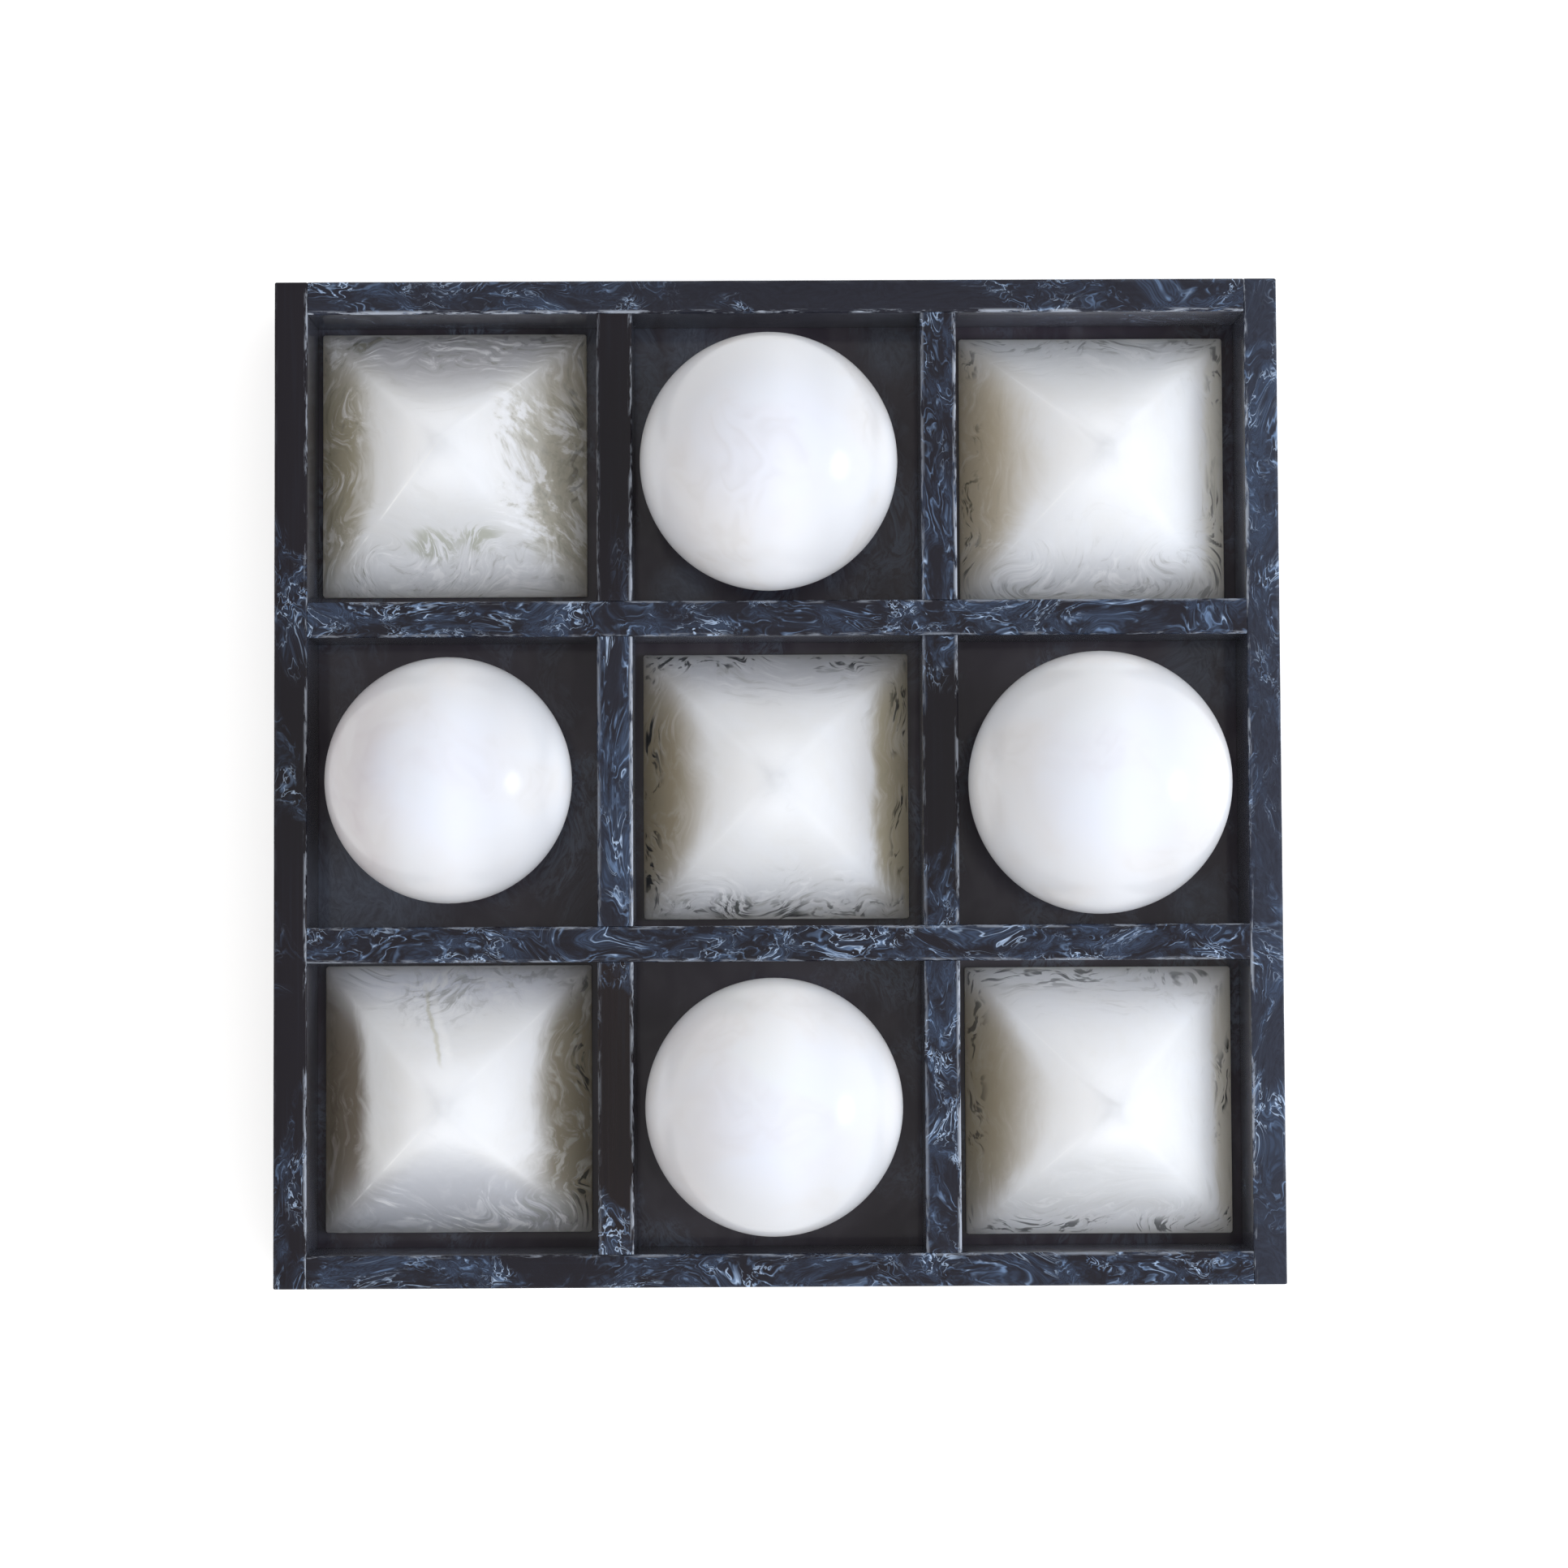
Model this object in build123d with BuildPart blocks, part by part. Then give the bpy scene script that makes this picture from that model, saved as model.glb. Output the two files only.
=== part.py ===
from build123d import *

import os

# Three-in-a-row game set: a marbled resin tray of nine open cells, five pyramids and four balls.
#
# Millimetres, +Z up. The origin is the centre of the tray on the table plane. +Y is the back of
# the set, +X its right side.

os.makedirs("parts", exist_ok=True)

# ---------------------------------------------------------------- tray dimensions
tray_size = 305.0  # outside width and depth
wall_t = 10.0  # thickness of the four outer walls
divider_t = 10.8  # thickness of the cell dividers
base_t = 10.0  # thickness of the base panel
wall_h = 26.0  # height of walls and dividers above the cell floor
arris = 0.4  # polished bevel along the slab edges

foot_h = 2.0  # height the bumper feet hold the base panel off the table
foot_d = 14.0  # widest diameter, against the base panel
foot_taper = 18  # degrees the side leans in towards the table
foot_edge_r = 0.4  # rounding of the edge on the table
foot_inset = 20.0  # foot centre from the tray's outside faces

# ---------------------------------------------------------------- playing piece dimensions
pyramid_side = 82.0  # base square
pyramid_h = 54.0  # overall height
pyramid_rim_h = 3.0  # upright band round the base
pyramid_ridge_r = 1.2  # rounding of the upright and sloping edges
pyramid_tip = 4.0  # side of the blunt tip before it is rounded
pyramid_tip_r = 1.2  # rounding round the blunt tip

ball_flat_r = 7.0  # radius of the polished seat that stops a ball rolling

# ---------------------------------------------------------------- derived heights and positions
base_z = foot_h
floor_z = base_z + base_t
half = tray_size / 2
foot_at = half - foot_inset
wall_mid = half - wall_t / 2
inner_size = tray_size - 2 * wall_t  # clear width between opposite walls
cell = (inner_size - 2 * divider_t) / 3
cell_pitch = cell + divider_t
divider_mid = cell_pitch / 2  # halfway between neighbouring cell centres

# ---------------------------------------------------------------- places
foot_places = {  # x, y
    "back_left": (-foot_at, foot_at),
    "back_right": (foot_at, foot_at),
    "front_left": (-foot_at, -foot_at),
    "front_right": (foot_at, -foot_at),
}

column_places = {"left": -divider_mid, "right": divider_mid}  # x
row_places = {"back": cell_pitch, "middle": 0, "front": -cell_pitch}  # y

# Pyramids and balls stand where the game left them, slightly off their cell centres.
pyramid_places = {  # x, y
    "back_left": (-99.9, 99.4),
    "back_right": (97.9, 97.2),
    "centre": (-0.6, -0.9),
    "front_left": (-98.8, -96.8),
    "front_right": (98.4, -98.1),
}

# The balls are hand finished, so each has its own diameter.
ball_places = {  # diameter, x, y
    "back": (77.4, -2.4, 95.2),
    "left": (73.8, -98.6, 0.0),
    "right": (78.6, 96.2, -1.6),
    "front": (76.8, -1.6, -97.8),
}


def save(part, name):
    """Label a piece and write its STEP file."""
    part.label = name
    export_step(part, f"parts/{name}.step")


def make_base_panel():
    """Square slab, bevelled at its upright corners and round its underside."""
    with BuildPart() as panel:
        with BuildSketch(Plane.XY.offset(base_z)):
            Rectangle(tray_size, tray_size)
        extrude(amount=base_t)
        chamfer(panel.edges().filter_by(Axis.Z), length=arris)
        chamfer(panel.faces().sort_by(Axis.Z)[0].edges(), length=arris)
    return panel.part


def make_foot(x, y):
    """Round bumper foot, narrowing from the base panel down to the table."""
    with BuildPart() as foot:
        with BuildSketch(Plane.XY.offset(base_z)):
            with Locations((x, y)):
                Circle(foot_d / 2)
        extrude(amount=-foot_h, taper=foot_taper)
        fillet(foot.edges().group_by(Axis.Z)[0], radius=foot_edge_r)
    return foot.part


def make_slab(x, y, width, depth, corner_group=None):
    """Wall or divider standing on the cell floor, bevelled round its top.

    corner_group picks upright edges to bevel too: 0 for the leftmost, -1 for the rightmost.
    """
    with BuildPart() as slab:
        with BuildSketch(Plane.XY.offset(floor_z)):
            with Locations((x, y)):
                Rectangle(width, depth)
        extrude(amount=wall_h)
        chamfer(slab.faces().sort_by(Axis.Z)[-1].edges(), length=arris)
        if corner_group is not None:
            uprights = slab.edges().filter_by(Axis.Z)
            chamfer(uprights.group_by(Axis.X)[corner_group], length=arris)
    return slab.part


def make_pyramid(x, y):
    """Square pyramid with an upright rim and a rounded, blunt tip."""
    with BuildPart() as pyramid:
        with BuildSketch(Plane.XY.offset(floor_z)):
            with Locations((x, y)):
                RectangleRounded(pyramid_side, pyramid_side, pyramid_ridge_r)
        extrude(amount=pyramid_rim_h)
        for height, side in ((pyramid_rim_h, pyramid_side), (pyramid_h, pyramid_tip)):
            with BuildSketch(Plane.XY.offset(floor_z + height)):
                with Locations((x, y)):
                    RectangleRounded(side, side, pyramid_ridge_r)
        loft()
        fillet(pyramid.edges().group_by(Axis.Z)[-1], radius=pyramid_tip_r)
    return pyramid.part


def make_ball(diameter, x, y):
    """Ball cut off at the cell floor, which leaves its flat seat."""
    radius = diameter / 2
    centre_h = (radius**2 - ball_flat_r**2) ** 0.5  # ball centre above its seat
    with BuildPart() as ball:
        with Locations((x, y, floor_z + centre_h)):
            Sphere(radius)
        split(bisect_by=Plane.XY.offset(floor_z), keep=Keep.TOP)
    return ball.part


# ---------------------------------------------------------------- base panel and feet
save(make_base_panel(), "base_panel")
for place, (x, y) in foot_places.items():
    save(make_foot(x, y), f"bumper_foot_{place}")

# ---------------------------------------------------------------- walls
# The side walls run the full depth; the front and back walls are butted between them.
save(make_slab(-wall_mid, 0, wall_t, tray_size, corner_group=0), "left_wall")
save(make_slab(wall_mid, 0, wall_t, tray_size, corner_group=-1), "right_wall")
save(make_slab(0, wall_mid, inner_size, wall_t), "back_wall")
save(make_slab(0, -wall_mid, inner_size, wall_t), "front_wall")

# ---------------------------------------------------------------- dividers
# Row dividers run from side wall to side wall; short column dividers are butted between the rows.
save(make_slab(0, divider_mid, inner_size, divider_t), "back_row_divider")
save(make_slab(0, -divider_mid, inner_size, divider_t), "front_row_divider")
for column, x in column_places.items():
    for row, y in row_places.items():
        save(make_slab(x, y, divider_t, cell), f"{column}_column_divider_{row}")

# ---------------------------------------------------------------- playing pieces
for place, (x, y) in pyramid_places.items():
    save(make_pyramid(x, y), f"pyramid_{place}")
for place, (diameter, x, y) in ball_places.items():
    save(make_ball(diameter, x, y), f"ball_{place}")
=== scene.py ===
"""A board-game-like display tray of dark marbled resin, three cells by three.

Five milky pyramids stand in the corner and centre cells and four white balls in the others, on
four clear rubber feet. +X is right, +Y is back and +Z is up, with the tray centred on the origin.
Sizes are in millimetres unless a comment says otherwise; meshes are scaled to metres on creation.
"""

import math

import bpy
import numpy as np
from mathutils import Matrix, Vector


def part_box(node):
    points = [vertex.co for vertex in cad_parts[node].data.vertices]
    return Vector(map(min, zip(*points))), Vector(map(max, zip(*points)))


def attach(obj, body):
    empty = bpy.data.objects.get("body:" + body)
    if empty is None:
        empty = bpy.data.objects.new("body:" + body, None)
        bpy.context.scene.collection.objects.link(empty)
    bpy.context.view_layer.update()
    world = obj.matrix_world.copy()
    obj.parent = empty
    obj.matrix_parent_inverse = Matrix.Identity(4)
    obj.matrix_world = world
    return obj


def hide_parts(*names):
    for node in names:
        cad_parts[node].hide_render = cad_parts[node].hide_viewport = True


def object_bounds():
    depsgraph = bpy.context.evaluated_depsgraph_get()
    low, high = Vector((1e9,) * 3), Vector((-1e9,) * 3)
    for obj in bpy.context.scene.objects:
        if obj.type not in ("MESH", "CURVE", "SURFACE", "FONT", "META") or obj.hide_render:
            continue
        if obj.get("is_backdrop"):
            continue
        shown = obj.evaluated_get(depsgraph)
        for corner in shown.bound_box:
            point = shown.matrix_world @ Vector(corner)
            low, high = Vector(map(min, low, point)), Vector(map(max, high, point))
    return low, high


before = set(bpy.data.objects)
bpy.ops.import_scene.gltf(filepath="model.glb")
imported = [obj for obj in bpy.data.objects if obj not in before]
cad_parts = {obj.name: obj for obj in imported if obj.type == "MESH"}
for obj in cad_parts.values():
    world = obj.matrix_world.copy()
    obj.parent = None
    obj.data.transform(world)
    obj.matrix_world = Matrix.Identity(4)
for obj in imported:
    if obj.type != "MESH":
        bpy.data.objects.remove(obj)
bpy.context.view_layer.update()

MM = 0.001  # metres
FLOOR_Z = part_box("base_panel")[1].z * 1000.0  # floor of the cells
TOP_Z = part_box("left_wall")[1].z * 1000.0  # top of the walls
QUARTER = 0.5 * math.pi

# ---------------------------------------------------------------- mesh helpers

CORNERS = ((-1, -1), (1, -1), (1, 1), (-1, 1))


def mm_box(node):
    """The low and high corners of a CAD piece."""
    lo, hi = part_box(node)
    return [c * 1000 for c in lo], [c * 1000 for c in hi]


def wobble(seed, count, low, high):
    """A smooth seeded function of (x, y, z) within about -1..1.

    It sums count waves with frequencies between low and high, in cycles per mm."""
    rng = np.random.default_rng(seed)
    waves = []
    for _ in range(count):
        direction = rng.normal(size=3)
        direction /= np.linalg.norm(direction)
        rate = 2 * math.pi * rng.uniform(low, high)
        waves.append((direction * rate, rng.uniform(0, 2 * math.pi), rng.uniform(0.5, 1.0)))
    total = sum(weight for _, _, weight in waves)

    def value(point):
        point = np.asarray(point, float)
        out = np.zeros(point.shape[:-1])
        for direction, phase, weight in waves:
            out += weight * np.sin(point @ direction + phase)
        return out / total

    return value


def make_mesh(name, rings):
    """A closed smooth skin through rings of equal length; a ring of one point is a pole."""
    verts, starts = [], []
    for ring in rings:
        starts.append(len(verts))
        verts.extend(ring)
    faces = []
    for k in range(len(rings) - 1):
        count_a, count_b = len(rings[k]), len(rings[k + 1])
        a, b = starts[k], starts[k + 1]
        if count_a == 1:
            faces += [(a, b + (i + 1) % count_b, b + i) for i in range(count_b)]
        elif count_b == 1:
            faces += [(a + i, a + (i + 1) % count_a, b) for i in range(count_a)]
        else:
            for i in range(count_a):
                j = (i + 1) % count_a
                faces.append((a + i, a + j, b + j, b + i))
    if len(rings[0]) > 1:
        faces.append(tuple(reversed(range(len(rings[0])))))
    if len(rings[-1]) > 1:
        faces.append(tuple(range(starts[-1], starts[-1] + len(rings[-1]))))
    mesh = bpy.data.meshes.new(name)
    mesh.from_pydata([tuple(c * MM for c in vert) for vert in verts], [], faces)
    mesh.validate()
    mesh.update()
    mesh.polygons.foreach_set("use_smooth", [True] * len(mesh.polygons))
    return mesh


def circle(radius, count):
    """Points (x, y) round a circle about the origin."""
    angles = [2 * math.pi * i / count for i in range(count)]
    return [(radius * math.cos(angle), radius * math.sin(angle)) for angle in angles]


def rounded_outline(half_x, half_y, radii, corner_steps, side_steps):
    """Points (x, y) round a rectangle, with one corner radius for each of CORNERS.

    side_steps are the divisions of the sides along x and of the sides along y."""
    centres = [
        (sx * (half_x - radius), sy * (half_y - radius))
        for (sx, sy), radius in zip(CORNERS, radii)
    ]
    points = []
    for i in range(4):
        j = (i + 1) % 4
        first = (i + 2) % 4 * QUARTER
        for k in range(corner_steps + 1):
            angle = first + QUARTER * k / corner_steps
            points.append((
                centres[i][0] + radii[i] * math.cos(angle),
                centres[i][1] + radii[i] * math.sin(angle),
            ))
        from_x, from_y = points[-1]
        to_x = centres[j][0] + radii[j] * math.cos(first + QUARTER)
        to_y = centres[j][1] + radii[j] * math.sin(first + QUARTER)
        steps = side_steps[i % 2]
        for k in range(1, steps):
            t = k / steps
            points.append((from_x + (to_x - from_x) * t, from_y + (to_y - from_y) * t))
    return points


def add_piece(name, mesh, body, node, material):
    piece = bpy.data.objects.new(name, mesh)
    bpy.context.scene.collection.objects.link(piece)
    mesh.materials.append(material)
    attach(piece, body)
    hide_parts(node)


# ---------------------------------------------------------------- shader graph


class Graph:
    """The node tree of a material or world, with its output node."""

    def __init__(self, owner, kind):
        self.owner = owner
        owner.use_nodes = True
        self.tree = owner.node_tree
        self.tree.nodes.clear()
        self.output = self.node("Output" + kind)

    def node(self, kind, inputs=(), **props):
        """Add a node. inputs is a sequence, or a dict keyed by socket name or number."""
        node = self.tree.nodes.new("ShaderNode" + kind)
        for name, value in props.items():
            setattr(node, name, value)
        pairs = inputs.items() if isinstance(inputs, dict) else enumerate(inputs)
        for key, value in pairs:
            self.put(node.inputs[key], value)
        return node

    def put(self, socket, value):
        """Link a wire or set a value; None leaves the socket as it is."""
        if isinstance(value, Wire):
            self.tree.links.new(value.socket, socket)
        elif value is not None:
            if socket.type == "RGBA" and len(value) == 3:
                value = (*value, 1.0)
            socket.default_value = value

    def wire(self, kind, inputs=(), output=0, **props):
        return Wire(self, self.node(kind, inputs, **props).outputs[output])

    def coords(self, offset=None):
        """Object coordinates in millimetres, less offset."""
        point = self.wire("TexCoord", output="Object").scale(1000.0)
        return point - offset if offset else point

    def surface(self, **values):
        """A Principled shader on the output; underscores stand for spaces in socket names."""
        inputs = {name.replace("_", " "): value for name, value in values.items()}
        shader = self.node("BsdfPrincipled", inputs)
        self.tree.links.new(shader.outputs[0], self.output.inputs[0])
        return shader


class Wire:
    """An output socket. Its operators and methods add nodes and return their outputs."""

    def __init__(self, graph, socket):
        self.graph = graph
        self.socket = socket

    def math(self, operation, *others, clamp=False):
        inputs = (self, *others)
        return self.graph.wire("Math", inputs, operation=operation, use_clamp=clamp)

    def vector(self, operation, *others, output=0):
        return self.graph.wire("VectorMath", (self, *others), output, operation=operation)

    def either(self, operation, other):
        """Scalar math on a value, vector math on a vector or colour."""
        act = self.math if self.socket.type == "VALUE" else self.vector
        return act(operation, other)

    def __add__(self, other):
        return self.either("ADD", other)

    def __sub__(self, other):
        return self.either("SUBTRACT", other)

    def __mul__(self, other):
        return self.either("MULTIPLY", other)

    def __truediv__(self, other):
        return self.either("DIVIDE", other)

    def __rsub__(self, number):
        return self.graph.wire("Math", (number, self), operation="SUBTRACT")

    def __pow__(self, exponent):
        return self.math("POWER", exponent)

    def __abs__(self):
        return self.math("ABSOLUTE")

    def max(self, other):
        return self.either("MAXIMUM", other)

    def min(self, other):
        return self.either("MINIMUM", other)

    def mul_add(self, factor, offset):
        """self * factor + offset"""
        return self.math("MULTIPLY_ADD", factor, offset)

    def clamp_mul(self, factor):
        """self * factor, held within 0..1"""
        return self.math("MULTIPLY", factor, clamp=True)

    def triangle(self):
        """A triangle wave of period 1 that runs from 0 to 1 and back."""
        return self.math("PINGPONG", 0.5) * 2.0

    def scale(self, factor):
        inputs = {0: self, "Scale": factor}
        return self.graph.wire("VectorMath", inputs, operation="SCALE")

    def length(self):
        return self.vector("LENGTH", output="Value")

    def normalized(self):
        return self.vector("NORMALIZE")

    def split(self):
        node = self.graph.node("SeparateXYZ", (self,))
        return [Wire(self.graph, node.outputs[i]) for i in range(3)]

    def turn_z(self, angle, centre=None):
        inputs = {"Vector": self, "Center": centre, "Angle": angle}
        return self.graph.wire("VectorRotate", inputs, rotation_type="Z_AXIS")

    def change_space(self, source, target):
        """A normal carried from one space to another."""
        spaces = dict(convert_from=source, convert_to=target)
        return self.graph.wire("VectorTransform", (self,), vector_type="NORMAL", **spaces)

    def noises(self, scale, detail, rough=0.5):
        """The value and the colour of one noise."""
        inputs = {"Vector": self, "Scale": scale, "Detail": detail, "Roughness": rough}
        node = self.graph.node("TexNoise", inputs, noise_dimensions="3D")
        return Wire(self.graph, node.outputs[0]), Wire(self.graph, node.outputs[1])

    def noise(self, scale, detail, rough=0.5):
        return self.noises(scale, detail, rough)[0]

    def fold(self, scale, amount, detail, rough=0.55):
        """The vector pushed about by a noise, by up to half of amount along each axis."""
        _, colour = self.noises(scale, detail, rough)
        return self + (colour - (0.5, 0.5, 0.5)).scale(amount)

    def smooth(self, start, end, low=0.0, high=1.0):
        """An eased step from low at start to high at end; end may be below start."""
        inputs = (self, start, end, low, high)
        return self.graph.wire("MapRange", inputs, interpolation_type="SMOOTHSTEP", clamp=True)

    def linear(self, start, end, low=0.0, high=1.0):
        """A straight step from low at start to high at end."""
        inputs = (self, start, end, low, high)
        return self.graph.wire("MapRange", inputs, interpolation_type="LINEAR", clamp=True)

    def ramp(self, stops):
        """A value that follows stops, a list of (position, value)."""
        node = self.graph.node("ValToRGB", (self,))
        node.color_ramp.interpolation = "EASE"
        elements = node.color_ramp.elements
        while len(elements) > 1:
            elements.remove(elements[-1])
        elements[0].position = stops[0][0]
        elements[0].color = (stops[0][1],) * 3 + (1.0,)
        for position, value in stops[1:]:
            elements.new(position).color = (value, value, value, 1.0)
        return Wire(self.graph, node.outputs[0])

    def bump(self, distance, normal=None):
        """A normal bumped by this height; distance is in metres."""
        inputs = {"Strength": 1.0, "Distance": distance, "Height": self, "Normal": normal}
        return self.graph.wire("Bump", inputs)


def combine(x, y, z):
    return x.graph.wire("CombineXYZ", (x, y, z))


def mix(factor, base, top):
    """base at factor 0, top at factor 1."""
    inputs = {0: factor, 6: base, 7: top}
    return factor.graph.wire("Mix", inputs, output=2, data_type="RGBA", clamp_factor=True)


def material_graph(name):
    return Graph(bpy.data.materials.new(name), "Material")


def seeded_offset(seed, reach):
    """A place in noise space, within reach of the origin along each axis."""
    return np.random.default_rng(seed).uniform(-reach, reach, 3).tolist()


# ---------------------------------------------------------------- marbled resin

OUTER_FACE = (151.2, 152.2)  # the tray's outer faces fade in between these distances
CELL_FACE_LIGHT = (0.085, 0.088, 0.108)  # grey-blue of the painted reflected light on the faces turned to the cells


def cell_floor(colour, x, y, z, folded, broad, smoky, grain, clouds):
    """Haze on the top of the base panel, with faint smears and a patch for each cloud. The pale
    ground is partly the resin's haze and partly painted light that lifts the shaded cell floors.
    """
    smear = folded.noise(scale=0.030, detail=3.0, rough=0.6)
    smear = smear.smooth(0.50, 0.68) * grain.smooth(0.36, 0.62)
    # partly painted light: the pale ground lifts the cell floors out of the walls' shade
    pale = mix(broad.smooth(0.38, 0.62), (0.047, 0.038, 0.054), (0.072, 0.062, 0.079))
    for cloud_x, cloud_y, radius in clouds:
        distance = (combine(x, y, 0.0) - (cloud_x, cloud_y, 0.0)).length()
        patch = distance.smooth(radius, radius * 0.25) * smoky.smooth(0.22, 0.52)
        smear = smear.max(patch * grain.linear(0.30, 0.62, low=0.35, high=1.0))
    pale = mix(smear * 0.85, pale, (0.135, 0.160, 0.215))
    return mix(z.smooth(FLOOR_Z - 0.6, FLOOR_Z - 0.1) * 0.85, colour, pale)


def marble(name, seed, along, start, end, density, middle=0.0, half_width=5.0, stretch=0.55,
           size=0.86, smoke=1.0, lines=1.0, sparks=1.0, brown=0.0, veil=0.0,
           edge_glint=None, cell_face_light=(1.0, 1.0), clouds=()):
    """Polished near-black navy cast resin with folded blue-white swirls.

    The swirls are contour lines of a noise whose space is folded three times.
    along, start, end: long axis of the slab and its two ends; middle and half_width: across it
    density: how much of the slab the swirls fill, from its low end to its high end
    stretch, size: grain of the swirls along the slab and overall
    smoke, lines, sparks, brown, veil: strength of the haze, contour lines, bright threads,
    brown streaks and an even navy cloudiness
    wear: strength of the painted highlight on the two top edges, at the low side and the high
    side; None marks the base
    bloom: strength of the paler grey-blue tint, painted reflected light, on the face turned to
    the cells at the low end and at the high end
    clouds: (x, y, radius) patches of haze on the base panel"""
    graph = material_graph(name)
    is_base = edge_glint is None
    point = graph.coords()
    x, y, z = point.split()
    long, wide = (x, y) if along == 0 else (y, x)
    shift = seeded_offset(seed, 400)
    fold_1 = combine(
        long.mul_add(stretch / size, shift[0]),
        wide.mul_add(1.0 / size, shift[1]),
        z.mul_add(0.8 / size, shift[2]),
    ).fold(scale=0.05, amount=20.0, detail=0.0)
    fold_2 = fold_1.fold(scale=0.14, amount=9.5, detail=1.0)
    fold_3 = fold_2.fold(scale=0.42, amount=2.8, detail=2.0)

    # density along the slab, its borders broken up by broad noises
    broad, broad_colour = fold_1.noises(scale=0.055, detail=2.0, rough=0.6)
    _, border, _ = broad_colour.split()
    amount = (border - 0.5).mul_add(70.0, long).linear(start, end).ramp(density)
    # the outer faces of the tray hold more swirls than the tops do
    outer = (abs(x).max(abs(y)) if is_base else abs(wide)).smooth(*OUTER_FACE)
    below_top = outer * z.smooth(TOP_Z - 1.0, TOP_Z - 8.0)
    amount = below_top.mul_add(0.45 if is_base else 0.28, amount)
    mask = (broad + amount.mul_add(0.60, -0.30)).smooth(0.40, 0.66)

    # smoky zones with their own fine grain
    smoky = fold_2.noise(scale=0.12, detail=3.0, rough=0.6)
    grain = fold_3.noise(scale=0.55, detail=4.0, rough=0.65)
    haze = grain.mul_add(0.30, smoky - 0.15).smooth(0.40, 0.66) * mask

    # contour lines of the folded field, coarse and fine
    field = fold_3.noise(scale=0.085, detail=1.0)
    ridge = 1.0 - (field * 13.0).triangle().smooth(0.0, 0.46)
    strength = fold_2.noise(scale=0.20, detail=2.0, rough=0.6).smooth(0.42, 0.66)
    line = ridge * strength * mask
    fine = 1.0 - field.mul_add(44.0, smoky * 7.0).triangle().smooth(0.0, 0.85)

    # a few bright threads and knots
    knots = fold_3.noise(scale=0.26, detail=2.0, rough=0.6)
    thread = 1.0 - abs(knots - 0.5).smooth(0.0, 0.024)
    thread = thread * fold_1.noise(scale=0.10, detail=1.0).smooth(0.50, 0.66) * mask

    # faint streaks along the slab
    streak = combine(long * 0.02, wide * 0.9, z * 0.9).noise(scale=1.0, detail=2.0)

    # dark ground: brown streaks, lighter streaks, navy veil
    colour = mix(streak.clamp_mul(brown), (0.0062, 0.0042, 0.0088), (0.022, 0.012, 0.008))
    colour = mix(streak.smooth(0.5, 0.75) * 0.4, colour, (0.012, 0.013, 0.022))
    cloudy = grain.linear(0.30, 0.66, low=0.45, high=1.0)
    colour = mix(cloudy * veil, colour, (0.034, 0.043, 0.070))
    # haze, then contour lines, then the brightest knots and threads
    smoke_amount = haze.clamp_mul(fine.mul_add(0.54, 0.28 * smoke))
    colour = mix(smoke_amount, colour, (0.044, 0.069, 0.124))
    line_amount = line.clamp_mul(fine.mul_add(0.52 * lines, 0.50 * lines))
    colour = mix(line_amount, colour, (0.148, 0.228, 0.375))
    hot = line ** 3.0 * knots.smooth(0.50, 0.62)
    colour = mix(hot.max(thread * 0.9).clamp_mul(sparks), colour, (0.47, 0.60, 0.80))

    if is_base:
        colour = cell_floor(colour, x, y, z, fold_2, broad, smoky, grain, clouds)
    else:
        # painted highlight: the two long top edges show a broken light line where the polished
        # arrises catch the light
        most = max(edge_glint)
        across = wide - middle
        inset = half_width - abs(across)
        near = inset.smooth(1.0 + 0.4 * most, 0.3) * z.smooth(TOP_Z - 1.4, TOP_Z - 0.4)
        breaks = combine(long * 0.07, wide * 0.5, float(seed))
        breaks = breaks.noise(scale=1.0, detail=5.0, rough=0.7)
        near = near * mask.mul_add(0.04, breaks).smooth(0.57 - 0.10 * most, 0.67 - 0.10 * most)
        weight = across.linear(-1.0, 1.0, *edge_glint)
        colour = mix(near.clamp_mul(weight), colour, (0.40, 0.44, 0.51))
        # painted reflected light: the faces turned to the cells are tinted a paler grey-blue;
        # they are also rougher
        inner = inset.smooth(0.40, 0.12) * z.smooth(TOP_Z - 0.3, TOP_Z - 0.9)
        inner = inner * (1.0 - outer)
        tints = [tuple(channel * level for channel in CELL_FACE_LIGHT) for level in cell_face_light]
        tint = mix(long.linear(start, end), *tints)
        colour = mix(inner * grain.linear(0.30, 0.66, low=0.45, high=0.85), colour, tint)

    wave = point.noise(scale=0.045, detail=1.0)
    scuff = point.noise(scale=1.4, detail=2.0, rough=0.6)
    relief = (scuff if is_base else scuff * (1.0 - inner)).mul_add(0.015, wave)
    normal = relief.bump(distance=0.00018)
    rough = scuff.mul_add(0.06, 0.07)
    specular = 0.33
    if not is_base:
        rough = inner.mul_add(0.12, rough)
        specular = inner.mul_add(0.25, specular)
    graph.surface(Base_Color=colour, Roughness=rough, IOR=1.52, Normal=normal,
                  Specular_IOR_Level=specular)
    return graph.owner


# ---------------------------------------------------------------- milky resin


def strands(space, along_x, detail=4.0, fine=0.42, drawn=0.055):
    """A noise drawn out along x or y; fine and drawn are its rates across and along."""
    x, y, z = space.split()
    rate_x, rate_y = (drawn, fine) if along_x else (fine, drawn)
    space = combine(x * rate_x, y * rate_y, z * 0.16)
    return space.noise(scale=1.0, detail=detail, rough=0.62)


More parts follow.
